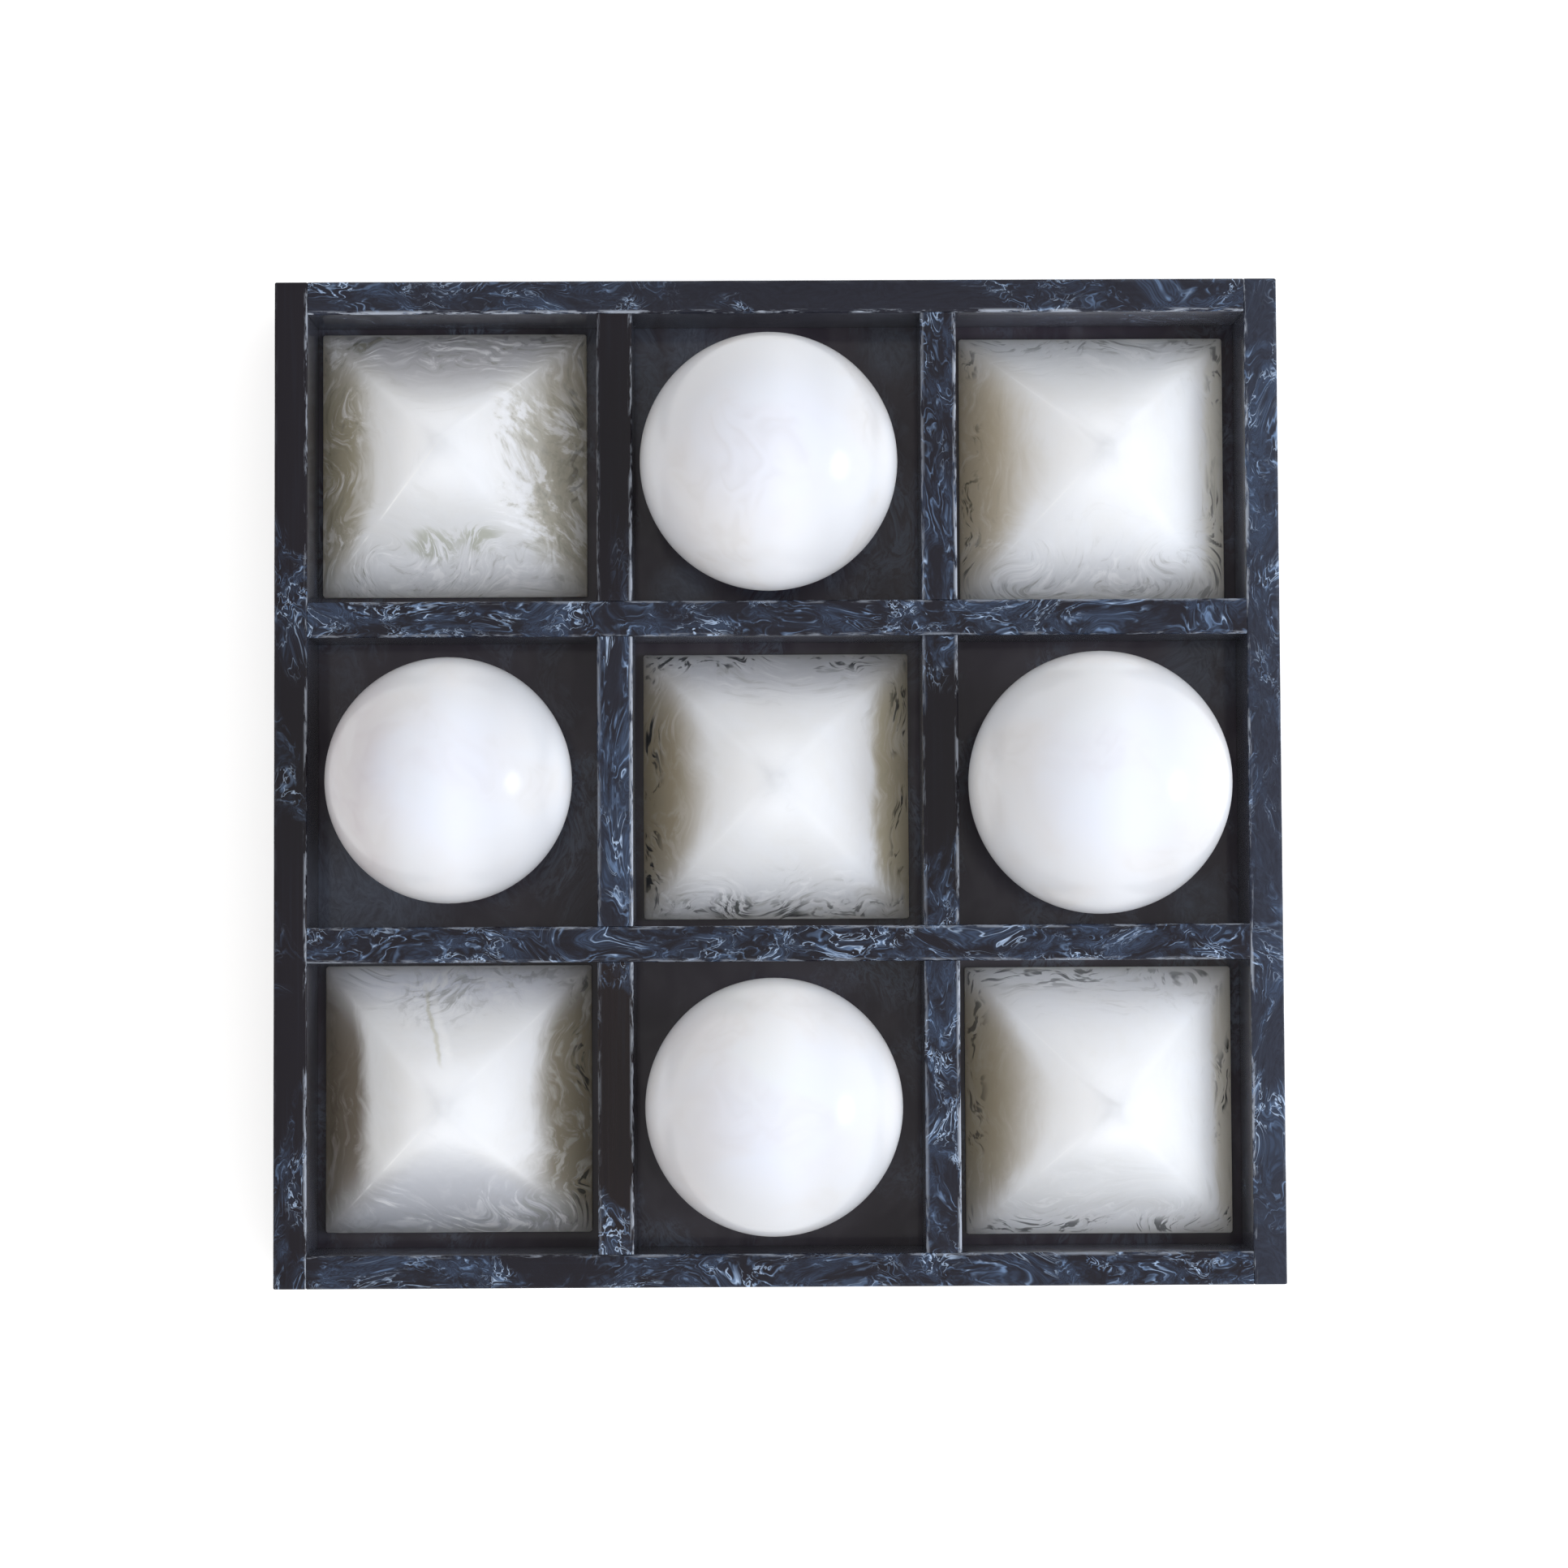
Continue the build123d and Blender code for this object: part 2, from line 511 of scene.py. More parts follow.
def add_feather(colour, x, y, space):
    """White locks combed to the right over a half-clear pocket."""
    lock = strands(space.turn_z(0.35), True, detail=5.0, fine=0.26, drawn=0.028)
    span = y.smooth(-38.0, -24.0) * y.smooth(28.0, 10.0)
    front = (lock - 0.5).mul_add(44.0, y.mul_add(0.20, x))
    zone = front.smooth(18.0, 29.0) * span * x.smooth(8.0, 18.0)
    colour = mix(zone * 0.72, colour, (0.50, 0.48, 0.40))
    dark = lock.smooth(0.54, 0.68) * zone
    colour = mix(dark * 0.32, colour, (0.22, 0.22, 0.19))
    white = lock.smooth(0.50, 0.38) * (x.smooth(9.0, 20.0) * span)
    return mix(white * 0.60, colour, (0.95, 0.96, 0.98))


def add_plume(colour, point, x, y, body, space):
    """A curl of white at the back edge with a thin half-clear trail towards the tip."""
    distance = ((point - (-4.0, 32.0, 0.0)) * (0.75, 1.0, 0.0)).length()
    spot = (body - 0.5).mul_add(10.0, distance).smooth(12.0, 4.0)
    curl = strands(space, False, detail=4.0, fine=0.40, drawn=0.12)
    colour = mix(spot * curl.smooth(0.48, 0.60) * 0.65, colour, (0.34, 0.345, 0.33))
    colour = mix(spot * curl.smooth(0.47, 0.36) * 0.8, colour, (0.95, 0.96, 0.97))
    off = x + (body - 0.5).mul_add(5.0, y.mul_add(0.36, -3.0))
    run = y.smooth(10.0, 15.0) * y.smooth(37.0, 29.0)
    olive = abs(off).smooth(1.1, 0.1) * run
    colour = mix(olive * 0.45, colour, (0.50, 0.48, 0.33))
    white = abs(off - 2.4).smooth(2.0, 0.2) * run
    return mix(white * (curl * 0.9), colour, (0.97, 0.97, 0.97))


def soft_normal(graph, x, y, z, abs_x, abs_y):
    """A normal that turns softly from face to face, instead of at the ridges.

    The white lies under a clear skin, while the polish on top keeps the true ridges."""
    blend, tilt, span = 20.0, 0.75, 22.0  # width of the turn, largest lean, and where it is met
    true = graph.wire("NewGeometry", output="Normal").change_space("WORLD", "OBJECT")
    _, _, up = true.split()
    turn = (abs_x - abs_y).smooth(-blend, blend)
    soft = combine(
        x.linear(-span, span, -tilt, tilt) * turn,
        y.linear(-span, span, -tilt, tilt) * (1.0 - turn),
        1.0,
    )
    on_face = up.smooth(0.30, 0.58) * z.smooth(2.0, 5.0)
    inputs = {0: on_face, 4: true, 5: soft.normalized()}
    core = graph.wire("Mix", inputs, output=1, data_type="VECTOR")
    return core.change_space("OBJECT", "WORLD").normalized()


def milky(name, centre, half, seed, reach, fade, edges, inner, flecks, silks, wisps,
          vortices, ridges, pockets=(), feather=False, plume=False):
    """Cast resin that is milky white inside and half clear towards the middle of each base edge.

    Silky strands and flecks are noises drawn out along the nearest edge, in a space that is
    folded like stirred resin. Given for the left, right, back and front side:
    reach, fade, edges: how far the half-clear border reaches in, over how much it fades, colour;
    on the right side the border is mostly the painted shadow of the wall, and the pale back and
    front colours are partly painted light against the walls' shade
    inner: how grey the cloud behind the border is; on the right side of the back right and front
    right pyramids this grey is painted shade
    flecks, silks: how many dark flecks there are and how marked the strands are
    Given once:
    wisps: how ragged the strands make the border
    vortices: (x, y, radius, turn in radians) of swirls in the resin
    ridges: painted highlights, light lines on the back left, back right, front left and front
    right ridge
    pockets: (x, y, radius, amount, colour) of half-clear pockets between the strands"""
    graph = material_graph(name)
    point = graph.coords((centre[0], centre[1], FLOOR_Z))
    x, y, z = point.split()
    abs_x, abs_y = abs(x), abs(y)
    far, close = abs_x.max(abs_y), abs_x.min(abs_y)
    edge = half - far  # in from the nearest base edge, seen from above
    side = (abs_x - abs_y).smooth(-5.0, 5.0)  # 1 near the left and right edges
    broad_side = (abs_x - abs_y).smooth(-11.0, 11.0)
    right = x.smooth(-3.0, 3.0)
    rear = y.smooth(-3.0, 3.0)

    def by_side(values):
        """One number for each side, blended across the ridges."""
        at_left, at_right, at_back, at_front = values
        across = right.mul_add(at_right - at_left, at_left)
        deep = rear.mul_add(at_back - at_front, at_front)
        return across * broad_side + deep * (1.0 - broad_side)

    def edge_strands(**rates):
        """Strands that run along the nearest edge."""
        on_x = strands(fold_2, True, **rates)
        on_y = strands(fold_2, False, **rates)
        return on_x * (1.0 - side) + on_y * side

    space = point
    for vortex_x, vortex_y, radius, turn in vortices:
        vortex = (vortex_x, vortex_y, 0.0)
        off_x, off_y, _ = (space - vortex).split()
        square = off_x * off_x * 0.45 + off_y * off_y
        fall = (square * (-1.0 / (radius * radius))).math("EXPONENT")
        space = space.turn_z(fall * turn, vortex)
    space = space + seeded_offset(seed, 300)
    fold_1 = space.fold(scale=0.035, amount=22.0, detail=0.0)
    fold_2 = fold_1.fold(scale=0.10, amount=9.0, detail=1.0)
    hair = edge_strands()
    body = fold_1.noise(scale=0.055, detail=3.0, rough=0.6)

    # the half-clear border is deepest at the middle of an edge and thin at the corners; on the
    # right side it is mostly the painted shadow of the wall
    cornering = (close / far.max(1.0)) ** 1.8  # 0 at the middle of an edge, 1 on a ridge
    narrow = cornering.mul_add(by_side((-0.18, -0.08, -0.2, -0.2)), 1.0)
    loose = edge + (body.mul_add(4.0, -2.0) + hair.mul_add(3.6 * wisps, -1.8 * wisps))
    border = by_side(reach) * narrow
    clear = ((loose - border) / by_side(fade)).smooth(1.0, 0.0)
    clear = clear * (cornering ** 2.0).mul_add(by_side((-0.40, -0.1, -0.25, -0.15)), 1.0)
    rim = edge.smooth(2.6, 0.3)

    # silky strands and the gaps between them
    strength = fold_1.noise(scale=0.06, detail=1.0).smooth(0.36, 0.6).mul_add(0.7, 0.3)
    near_edge = edge.smooth(20.0, 6.0)
    silk = hair.smooth(0.48, 0.66) * strength
    gaps = hair.smooth(0.46, 0.30) * strength

    # short dark flecks in groups, in a band just inside the edge
    dash = edge_strands(detail=2.0, fine=0.60, drawn=0.12)
    band = edge.smooth(7.5, 3.2) * edge.smooth(0.2, 1.2)
    group = space.noise(scale=0.05, detail=1.0).smooth(0.36, 0.48)
    fleck = dash.smooth(0.520, 0.625) * (band * group)

    # cool and warm milk, with a whiter heart that is weaker to the right as painted shade on the
    # side lit by the key
    cloud = body.smooth(0.35, 0.65)
    colour = mix((1.0 - cloud) * 0.4, (0.895, 0.905, 0.925), (0.870, 0.862, 0.845))
    heart = edge.smooth(24.0, 35.0) * (1.0 - x.smooth(0.0, 9.0) * 0.6)
    colour = mix(heart, colour, (0.965, 0.972, 0.988))
    # a thin grey veil inside the border, painted shade on the right side of the back right and
    # front right pyramids, then the border itself, mostly painted wall shadow on the right side
    veil = edge.smooth(34.0, 20.0) * edge.smooth(4.0, 11.0) * by_side(inner)
    colour = mix(veil.clamp_mul(hair.mul_add(1.2, 0.4)), colour, (0.42, 0.43, 0.43))
    glassy = combine(*(by_side(channel) for channel in zip(*edges)))
    colour = mix(clear, colour, glassy)

    for pocket_x, pocket_y, radius, amount, shade in pockets:
        distance = ((point - (pocket_x, pocket_y, 0.0)) * (0.6, 1.0, 0.0)).length()
        spot = (body - 0.5).mul_add(1.2 * radius, distance).smooth(radius, radius * 0.35)
        colour = mix(spot * hair.smooth(0.56, 0.44) * amount, colour, shade)
    if feather:
        colour = add_feather(colour, x, y, fold_1)
    if plume:
        colour = add_plume(colour, point, x, y, body, fold_2)

    marked = by_side(silks) * near_edge.mul_add(1.0, 0.10)
    colour = mix(silk.clamp_mul(marked), colour, (0.96, 0.965, 0.975))
    gap_marks = marked * by_side([level * wisps for level in (0.9, 0.9, 0.8, 0.40)])
    colour = mix(gaps.clamp_mul(gap_marks), colour, (0.30, 0.295, 0.25))
    colour = mix(rim * 0.15, colour, (0.50, 0.47, 0.40))
    fleck_marks = by_side([0.9 * level for level in flecks])
    colour = mix(fleck.clamp_mul(fleck_marks), colour, (0.042, 0.044, 0.048))

    # painted highlights: hairlines of white on some ridges
    back_left, back_right, front_left, front_right = ridges
    on_back = rear * right.mul_add(back_right - back_left, back_left)
    on_front = (1.0 - rear) * right.mul_add(front_right - front_left, front_left)
    quarter = on_back + on_front
    broken = point.noise(scale=0.09, detail=2.0).smooth(0.36, 0.58)
    ridge_highlight = abs(abs_x - abs_y).smooth(0.60, 0.08) * (broken * edge.smooth(7.0, 16.0))
    colour = mix(ridge_highlight.clamp_mul(quarter), colour, (0.995, 0.995, 0.99))

    core = soft_normal(graph, x, y, z, abs_x, abs_y)
    wave = point.noise(scale=0.05, detail=1.0)
    skin = wave.bump(distance=0.00035)
    rough = point.noise(scale=0.9, detail=3.0, rough=0.6).mul_add(0.10, 0.20)
    shader = graph.surface(
        Base_Color=colour, Roughness=0.6, Specular_IOR_Level=0.0, IOR=1.5,
        Normal=wave.bump(distance=0.00035, normal=core),
        Subsurface_Weight=1.0, Subsurface_Radius=(1.0, 0.95, 0.88), Subsurface_Scale=0.055,
        Coat_Weight=0.9, Coat_Roughness=rough, Coat_IOR=1.5, Coat_Normal=skin,
    )
    shader.subsurface_method = "BURLEY"
    return graph.owner


# ---------------------------------------------------------------- white resin and rubber


def pearl(name, centre, seed, radius, blotch, left_shade, lean):
    """Glossy white cast resin with faint pearly clouds.

    blotch strengthens the clouds, dusk greys the left side as painted shade, and lean pales the
    back against the front as painted light. The top is also painted bluer and the lit right side
    darker."""
    graph = material_graph(name)
    point = graph.coords(centre)
    x, y, _ = point.split()
    space = point + seeded_offset(seed, 300)
    fold_1 = space.fold(scale=0.025, amount=30.0, detail=1.0, rough=0.5)
    fold_2 = fold_1.fold(scale=0.08, amount=14.0, detail=1.0, rough=0.5)
    broad = fold_1.noise(scale=0.035, detail=2.0)
    cloud = fold_2.noise(scale=0.06, detail=2.0, rough=0.55)
    veil = 1.0 - (cloud * 5.0).triangle().smooth(-0.2, 1.0)
    # cool and warm white, the clouds, then the left side greyed as painted shade
    colour = mix(broad.smooth(0.42, 0.62) * 0.5, (0.82, 0.832, 0.862), (0.815, 0.795, 0.785))
    clouded = veil * broad.smooth(0.48, 0.62) * (0.30 * blotch)
    colour = mix(clouded, colour, (0.735, 0.72, 0.71))
    grey = x.smooth(-8.0, -26.0) * cloud.linear(0.35, 0.60, low=0.5, high=1.0)
    colour = mix(grey * left_shade, colour, (0.66, 0.615, 0.64))
    # painted light: bluer towards the top, as lit by a bluish light from above; painted shade:
    # darker to the right but for the far right rim, on the side lit by the key
    crown = combine(x, y, 0.0).length().smooth(0.80 * radius, 0.20 * radius)
    colour = colour * mix(crown, (1.0, 1.0, 1.0), (1.025, 1.045, 1.11))
    right = x.smooth(0.08 * radius, 0.48 * radius)
    right = right * x.smooth(0.99 * radius, 0.80 * radius, low=-0.5, high=1.0)
    gain = right.mul_add(-0.135, 1.0)
    # painted light: the back of the ball is paler than the front
    backward = y.linear(-0.9 * radius, 0.9 * radius, low=-1.0, high=1.0)
    gain = gain * backward.mul_add(lean, 1.0 + 0.15 * lean)
    colour = colour.scale(gain).min((0.97, 0.97, 0.975))
    normal = point.noise(scale=0.06, detail=1.0).bump(distance=0.00015)
    rough = point.noise(scale=0.7, detail=3.0, rough=0.6).mul_add(0.08, 0.14)
    graph.surface(Base_Color=colour, Roughness=rough, IOR=1.5, Normal=normal,
                  Subsurface_Weight=0.5, Subsurface_Radius=(1.0, 0.93, 0.9),
                  Subsurface_Scale=0.008)
    return graph.owner


def silicone(name):
    """Frosted clear bumper rubber, a little dusty."""
    graph = material_graph(name)
    point = graph.coords()
    frost = point.noise(scale=2.2, detail=3.0, rough=0.6)
    dust = point.noise(scale=0.6, detail=2.0, rough=0.6)
    colour = mix(dust.smooth(0.45, 0.7), (0.52, 0.54, 0.55), (0.40, 0.40, 0.39))
    graph.surface(Base_Color=colour, Roughness=frost.mul_add(0.2, 0.32), IOR=1.41,
                  Normal=frost.bump(distance=0.00006), Subsurface_Weight=0.3,
                  Subsurface_Radius=(1.0, 1.0, 1.0), Subsurface_Scale=0.002)
    return graph.owner


# ---------------------------------------------------------------- tray slabs


def slab_mesh(name, lo, hi, along, top_radius, low_radius, end_radius, seed, step=3.0):
    """A polished slab between corners lo and hi, long side along axis 0 or 1.

    The radii are those of the two long top edges, the two long bottom edges and the edges
    round both ends. They drift a little along the slab, and the faces are very slightly
    hollowed, as on hand-polished cast resin."""
    lo, hi = np.array(lo, float), np.array(hi, float)
    across = 1 - along
    length, width, height = hi[along] - lo[along], hi[across] - lo[across], hi[2] - lo[2]
    drift = wobble(seed, 6, 0.01, 0.06)
    hollow = wobble(seed + 77, 5, 0.006, 0.02)
    corner_steps = 4
    side_steps = [max(2, int(round(extent / 5.0))) for extent in (width, height)]
    fade = 3.0  # the hollow dies out over this distance from an edge

    def outline(along_pos, inset):
        half_w, half_h = width / 2 - inset, height / 2 - inset
        radii = []
        for i, (sx, sy) in enumerate(CORNERS):
            radius = top_radius if sy > 0 else low_radius
            radius *= 1 + 0.35 * float(drift((along_pos, 400.0 * i, 30.0 * sx)))
            radii.append(max(min(radius, half_w * 0.9), 0.05))
        return rounded_outline(half_w, half_h, radii, corner_steps, side_steps)

    # stations: distance from the low end, inset of the outline
    head = []
    for k in range(corner_steps + 1):
        angle = QUARTER * k / corner_steps
        head.append((end_radius * (1 - math.cos(angle)), end_radius * (1 - math.sin(angle))))
    straight = length - 2 * end_radius
    count = max(4, int(round(straight / step)))
    body = [(end_radius + straight * k / count, 0.0) for k in range(1, count)]
    tail = [(length - pos, inset) for pos, inset in reversed(head)]

    rings = []
    for pos, inset in head + body + tail:
        points = np.array(outline(pos, inset))
        from_side = width / 2 - np.abs(points[:, 0])
        from_top = height / 2 - np.abs(points[:, 1])
        signs = np.sign(points)
        place = np.column_stack([np.full(len(points), pos), points * 3])
        depth = 0.025 * (1 + hollow(place))
        depth *= min(1.0, pos / fade, (length - pos) / fade)
        on_side = from_side < 0.01 + inset
        on_top = from_top < 0.01 + inset
        points[:, 0] -= signs[:, 0] * depth * on_side * np.clip(from_top / fade, 0, 1)
        points[:, 1] -= signs[:, 1] * depth * on_top * np.clip(from_side / fade, 0, 1)
        ring = np.zeros((len(points), 3))
        ring[:, along] = lo[along] + pos
        ring[:, across] = (lo[across] + hi[across]) / 2 + points[:, 0] * (1 if along else -1)
        ring[:, 2] = (lo[2] + hi[2]) / 2 + points[:, 1]
        # taken backwards, so that the faces turn outwards
        rings.append([tuple(vert) for vert in ring[::-1]])
    return make_mesh(name, rings)


# node: (length axis, seed, marble settings); density is a list of (place along slab, amount)
SLABS = {
    "back_wall": (0, 11, dict(
        edge_glint=(0.95, 0.05), smoke=0.7, veil=0.32, cell_face_light=(1.0, 1.8),
        density=((0.0, 0.62), (0.08, 0.70), (0.25, 0.62), (0.44, 0.50), (0.50, 0.10),
                 (0.58, 0.35), (0.72, 0.40), (0.86, 0.45), (0.93, 0.80), (1.0, 0.75)))),
    "front_wall": (0, 23, dict(
        edge_glint=(0.1, 0.5), veil=0.1,
        density=((0.0, 0.55), (0.06, 0.85), (0.18, 0.75), (0.24, 0.30), (0.38, 0.65),
                 (0.60, 0.75), (0.75, 0.80), (1.0, 0.95)))),
    "left_wall": (1, 37, dict(
        edge_glint=(0.05, 0.75), smoke=0.55,
        density=((0.0, 0.45), (0.12, 0.55), (0.18, 0.20), (0.35, 0.35), (0.42, 0.20),
                 (0.62, 0.45), (0.70, 0.72), (0.76, 0.20), (0.9, 0.05), (1.0, 0.10)))),
    "right_wall": (1, 41, dict(
        edge_glint=(0.75, 0.1), veil=0.75,
        density=((0.0, 0.30), (0.05, 0.45), (0.18, 0.70), (0.24, 0.30), (0.33, 0.75),
                 (0.40, 0.35), (0.60, 0.50), (0.76, 0.80), (0.85, 0.75), (1.0, 0.60)))),
    "back_row_divider": (0, 53, dict(
        edge_glint=(0.5, 0.5), smoke=1.2, veil=0.16,
        density=((0.0, 0.80), (0.2, 0.78), (0.5, 0.85), (0.75, 0.95), (0.86, 0.60),
                 (1.0, 0.85)))),
    "front_row_divider": (0, 67, dict(
        edge_glint=(0.5, 0.6), smoke=1.2, veil=0.10,
        density=((0.0, 0.75), (0.16, 0.85), (0.24, 0.65), (0.36, 0.95), (0.7, 0.95),
                 (1.0, 0.85)))),
    "left_column_divider_back": (1, 71, dict(
        edge_glint=(0.3, 1.0), smoke=0.6, lines=0.5, sparks=0.5,
        density=((0.0, 0.35), (0.15, 0.45), (0.3, 0.10), (1.0, 0.05)))),
    "left_column_divider_middle": (1, 83, dict(
        edge_glint=(0.4, 1.0), stretch=0.26, smoke=1.5, lines=1.15, veil=0.3,
        density=((0.0, 1.0), (0.5, 0.9), (1.0, 1.0)))),
    "left_column_divider_front": (1, 97, dict(
        edge_glint=(0.3, 1.0), brown=0.7,
        density=((0.0, 0.85), (0.15, 0.75), (0.25, 0.15), (0.8, 0.10), (0.92, 0.7),
                 (1.0, 0.95)))),
    "right_column_divider_back": (1, 103, dict(
        edge_glint=(0.4, 1.0), stretch=0.36, veil=0.15,
        density=((0.0, 0.85), (0.3, 0.80), (0.5, 0.55), (0.62, 0.45), (0.8, 0.75),
                 (1.0, 0.95)))),
    "right_column_divider_middle": (1, 113, dict(
        edge_glint=(0.3, 0.9), stretch=0.45, smoke=1.1,
        density=((0.0, 0.95), (0.2, 0.80), (0.35, 0.30), (0.75, 0.30), (0.9, 0.85),
                 (1.0, 1.0)))),
    "right_column_divider_front": (1, 127, dict(
        edge_glint=(0.4, 1.0), smoke=1.1, lines=1.1, veil=0.25,
        density=((0.0, 0.75), (0.5, 0.80), (1.0, 0.90)))),
    "base_panel": (1, 131, dict(
        stretch=0.7, smoke=0.8, lines=0.8, sparks=0.5, size=1.1,
        density=((0.0, 0.30), (0.3, 0.22), (0.5, 0.30), (0.8, 0.25), (1.0, 0.3)),
        clouds=((-40.0, 133.0, 36.0), (36.0, 136.0, 14.0), (-130.0, -36.0, 36.0),
                (133.0, 36.0, 18.0), (-30.0, 60.0, 12.0), (130.0, -38.0, 12.0)))),
}
UPRIGHT_EDGES = dict(top_radius=0.5, low_radius=0.16, end_radius=0.2)
# slabs whose edges or spacing of stations differ
SLAB_EDGES = {
    "left_wall": dict(UPRIGHT_EDGES, end_radius=0.45),
    "right_wall": dict(UPRIGHT_EDGES, end_radius=0.45),
    "base_panel": dict(top_radius=0.18, low_radius=0.5, end_radius=0.4, step=6.0),
}

for node, (along, seed, look) in SLABS.items():
    lo, hi = mm_box(node)
    across = 1 - along
    edges = SLAB_EDGES.get(node, UPRIGHT_EDGES)
    mesh = slab_mesh(node + "_slab", lo, hi, along, seed=seed, **edges)
    material = marble(
        node + "_marble", seed, along, lo[along], hi[along],
        middle=(lo[across] + hi[across]) / 2, half_width=(hi[across] - lo[across]) / 2, **look,
    )
    add_piece(node + "_slab", mesh, "tray", node, material)


# ---------------------------------------------------------------- pyramids

RIM_HEIGHT = 3.0  # upright rim round the foot of a pyramid
TIP_RADIUS, FOOT_RADIUS, LIP_RADIUS = 2.6, 0.7, 1.3


def pyramid_profile(half, height):
    """(half width, height) from foot to just below the tip."""
    # slope of the faces, so that the rounded tip ends at the full height
    slope = math.atan2(height - RIM_HEIGHT, half - 2.0)
    for _ in range(2):
        apex = height + TIP_RADIUS * (1 / math.cos(slope) - 1)
        slope = math.atan2(apex - RIM_HEIGHT, half)
    profile = [(half - FOOT_RADIUS, 0.0)]
    for k in range(1, 5):
        angle = QUARTER * k / 4
        profile.append((
            half - FOOT_RADIUS + FOOT_RADIUS * math.sin(angle),
            FOOT_RADIUS - FOOT_RADIUS * math.cos(angle),
        ))
    # lip: arc between the upright rim and the sloping face
    turn = QUARTER - slope
    lip_z = RIM_HEIGHT - LIP_RADIUS * math.tan(turn / 2)
    profile.append((half, (lip_z + FOOT_RADIUS) / 2))
    for k in range(6):
        angle = turn * k / 5
        profile.append((
            half - LIP_RADIUS + LIP_RADIUS * math.cos(angle),
            lip_z + LIP_RADIUS * math.sin(angle),
        ))
    # slightly crowned face
    foot, foot_z = profile[-1]
    tip = TIP_RADIUS * math.sin(slope)
    tip_z = height - TIP_RADIUS + TIP_RADIUS * math.cos(slope)
    face_steps = 46
    for k in range(1, face_steps + 1):
        t = k / face_steps
        crown = 0.16 * math.sin(math.pi * t) * 0.9
        profile.append((
            foot + (tip - foot) * t + crown * math.sin(slope),
            foot_z + (tip_z - foot_z) * t + crown * math.cos(slope),
        ))
    for k in range(1, 7):
        angle = slope * (1 - k / 7)
        profile.append((
            TIP_RADIUS * math.sin(angle),
            height - TIP_RADIUS + TIP_RADIUS * math.cos(angle),
        ))
    return profile


def pyramid_mesh(name, centre_x, centre_y, half, base_z, height, seed):
    """A solid pyramid with softened ridges, a short upright rim and a rounded tip."""
    soft = wobble(seed, 6, 0.008, 0.03)
    nick = wobble(seed + 5, 7, 0.03, 0.12)
    near_tip = 3.2  # half width below which the outline turns rounder
    rings = []
    for reach, z in pyramid_profile(half, height):
        ridge = min(0.7 + 1.2 * min(1.0, 2.5 * z / height), reach * 0.98)
        if reach < near_tip:
            ridge = reach * (0.98 - 0.3 * (reach / near_tip) ** 2)
        radii = []
        for i in range(4):
            radius = ridge * (1 + 0.22 * float(nick((z * 1.5, 90.0 * i, 7.0))))
            radii.append(min(max(radius, 0.02), reach * 0.985))
        points = np.array(rounded_outline(reach, reach, radii, 5, (22, 22)))
        # the faces sink unevenly, but not at the tip or the foot
        distance = np.hypot(points[:, 0], points[:, 1]) + 1e-6
        place = [points[:, 0] + centre_x, points[:, 1] + centre_y, np.full(len(points), z * 0.7)]
        keep = min(1.0, reach / 8.0) * min(1.0, max(0.0, z - FOOT_RADIUS) / 3.0)
        shift = -0.10 * (1 + soft(np.column_stack(place))) * keep
        points += points / distance[:, None] * shift[:, None]
        rings.append([(centre_x + x, centre_y + y, base_z + z) for x, y in points])
    rings.append([(centre_x, centre_y, base_z + height)])
    return make_mesh(name, rings)


FROST = (0.955, 0.965, 0.985)
# pale front border colour: partly the milk's own grey, partly painted light against the walls'
# shade
SNOW_AND_FILL = (0.83, 0.84, 0.855)
POCKET, INK = (0.43, 0.445, 0.36), (0.10, 0.105, 0.11)
